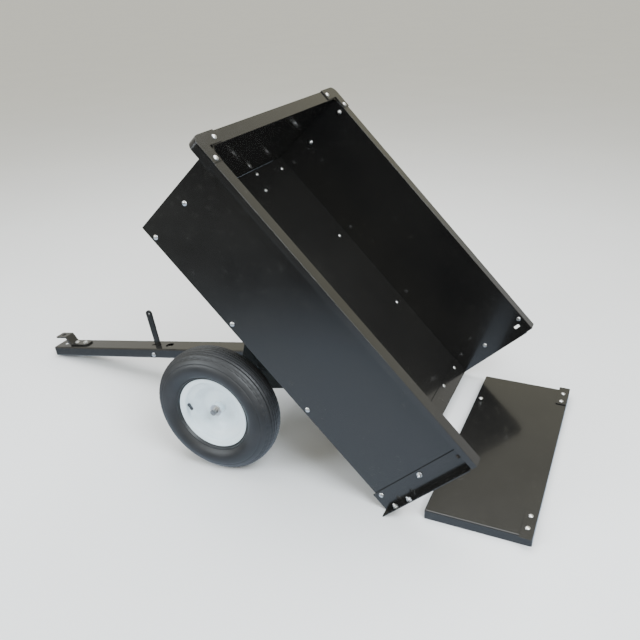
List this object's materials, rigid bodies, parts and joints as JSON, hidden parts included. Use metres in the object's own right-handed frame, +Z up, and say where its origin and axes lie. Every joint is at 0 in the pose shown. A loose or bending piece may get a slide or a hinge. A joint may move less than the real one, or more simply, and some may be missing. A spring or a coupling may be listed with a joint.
{
  "type": "tow behind dump cart",
  "caption": "Two-wheeled steel trailer box tipped back on its axle, with a flat tongue, hand latch, pin hitch and lift-off tailgate lying behind it.",
  "frame": {"origin": "on the ground, at the middle of the overall box", "axes": "+X towards the rear of the cart, where the tailgate lies; +Y towards its right side; +Z up. The box is tipped, the tongue's nose is on the ground."},
  "size_m": [1.9796, 0.8896, 1.0405],
  "materials": {
    "black_paint": "glossy black powder coat on steel",
    "rim_paint": "satin white enamel",
    "zinc": "bright zinc plate",
    "bare_steel": "plain drawn steel",
    "tyre": "matt black tyre rubber with a ribbed tread",
    "stem_rubber": "smooth black rubber",
    "nylon": "moulded nylon"
  },
  "bodies": {
    "frame": {"tongue_tube": "black_paint", "hitch_plate": "black_paint", "hitch_lower_plate": "black_paint", "hitch_bolt_front": "zinc", "hitch_bolt_rear": "zinc", "latch_spring": "bare_steel", "lever_pivot_bolt": "zinc", "axle": "bare_steel", "left_cotter_pin": "zinc", "right_cotter_pin": "zinc", "left_inner_spacer": "zinc", "right_inner_spacer": "zinc", "left_outer_spacer": "zinc", "right_outer_spacer": "zinc", "left_inner_washer": "zinc", "right_inner_washer": "zinc", "left_outer_washer": "zinc", "right_outer_washer": "zinc"},
    "latch_lever": {"latch_lever": "black_paint"},
    "latch_slide": {"latch_slide": "bare_steel"},
    "left_wheel": {"left_tyre": "tyre", "left_rim": "rim_paint", "left_valve_stem": "stem_rubber", "left_outer_bush": "nylon", "left_inner_bush": "nylon"},
    "right_wheel": {"right_tyre": "tyre", "right_rim": "rim_paint", "right_valve_stem": "stem_rubber", "right_outer_bush": "nylon", "right_inner_bush": "nylon"},
    "tub": {"floor_panel": "black_paint", "rear_sill": "black_paint", "front_panel": "black_paint", "cross_member_1": "black_paint", "cross_member_2": "black_paint", "cross_member_3": "black_paint", "cross_member_4": "black_paint", "latch_leg": "black_paint", "left_side_panel": "black_paint", "right_side_panel": "black_paint", "left_corner_cap": "black_paint", "right_corner_cap": "black_paint", "left_rear_angle": "black_paint", "right_rear_angle": "black_paint", "left_axle_bracket": "black_paint", "right_axle_bracket": "black_paint", "left_cap_bolt_front": "zinc", "left_cap_bolt_side": "zinc", "left_angle_bolt": "zinc", "right_cap_bolt_front": "zinc", "right_cap_bolt_side": "zinc", "right_angle_bolt": "zinc"},
    "tailgate": {"tailgate_panel": "black_paint", "left_gate_ear": "black_paint", "right_gate_ear": "black_paint", "left_ear_bolt_1": "zinc", "right_ear_bolt_1": "zinc", "left_ear_bolt_2": "zinc", "right_ear_bolt_2": "zinc"}
  },
  "joints": [
    {"name": "tip_box", "type": "hinge", "parent": "frame", "child": "tub", "pos_m": [0.0279, 0, 0.203], "axis": [0, 1, 0], "range_deg": [-55.67, 0]},
    {"name": "spin_left_wheel", "type": "hinge", "parent": "frame", "child": "left_wheel", "pos_m": [0.0279, -0.385, 0.203], "axis": [0, 1, 0], "continuous": true},
    {"name": "spin_right_wheel", "type": "hinge", "parent": "frame", "child": "right_wheel", "pos_m": [0.0279, 0.385, 0.203], "axis": [0, 1, 0], "continuous": true},
    {"name": "pull_lever", "type": "hinge", "parent": "frame", "child": "latch_lever", "pos_m": [-0.48259, 0, 0.10933], "axis": [0, -1, 0], "range_deg": [0, 25], "stiffness_Nm_per_rad": 2, "springref_deg": -17.19},
    {"name": "slide_latch", "type": "slide", "parent": "frame", "child": "latch_slide", "axis": [-0.9849, 0, -0.1729], "range_m": [0, 0.0066]},
    {"name": "shut_tailgate", "type": "hinge", "parent": "tub", "child": "tailgate", "pos_m": [0.6599, 0, -0.0694], "axis": [0, 1, 0], "range_deg": [-44.29, 0]}
  ],
  "couplings": [
    {"joint": "slide_latch", "follows": "pull_lever", "m_per_rad": 0.015}
  ]
}
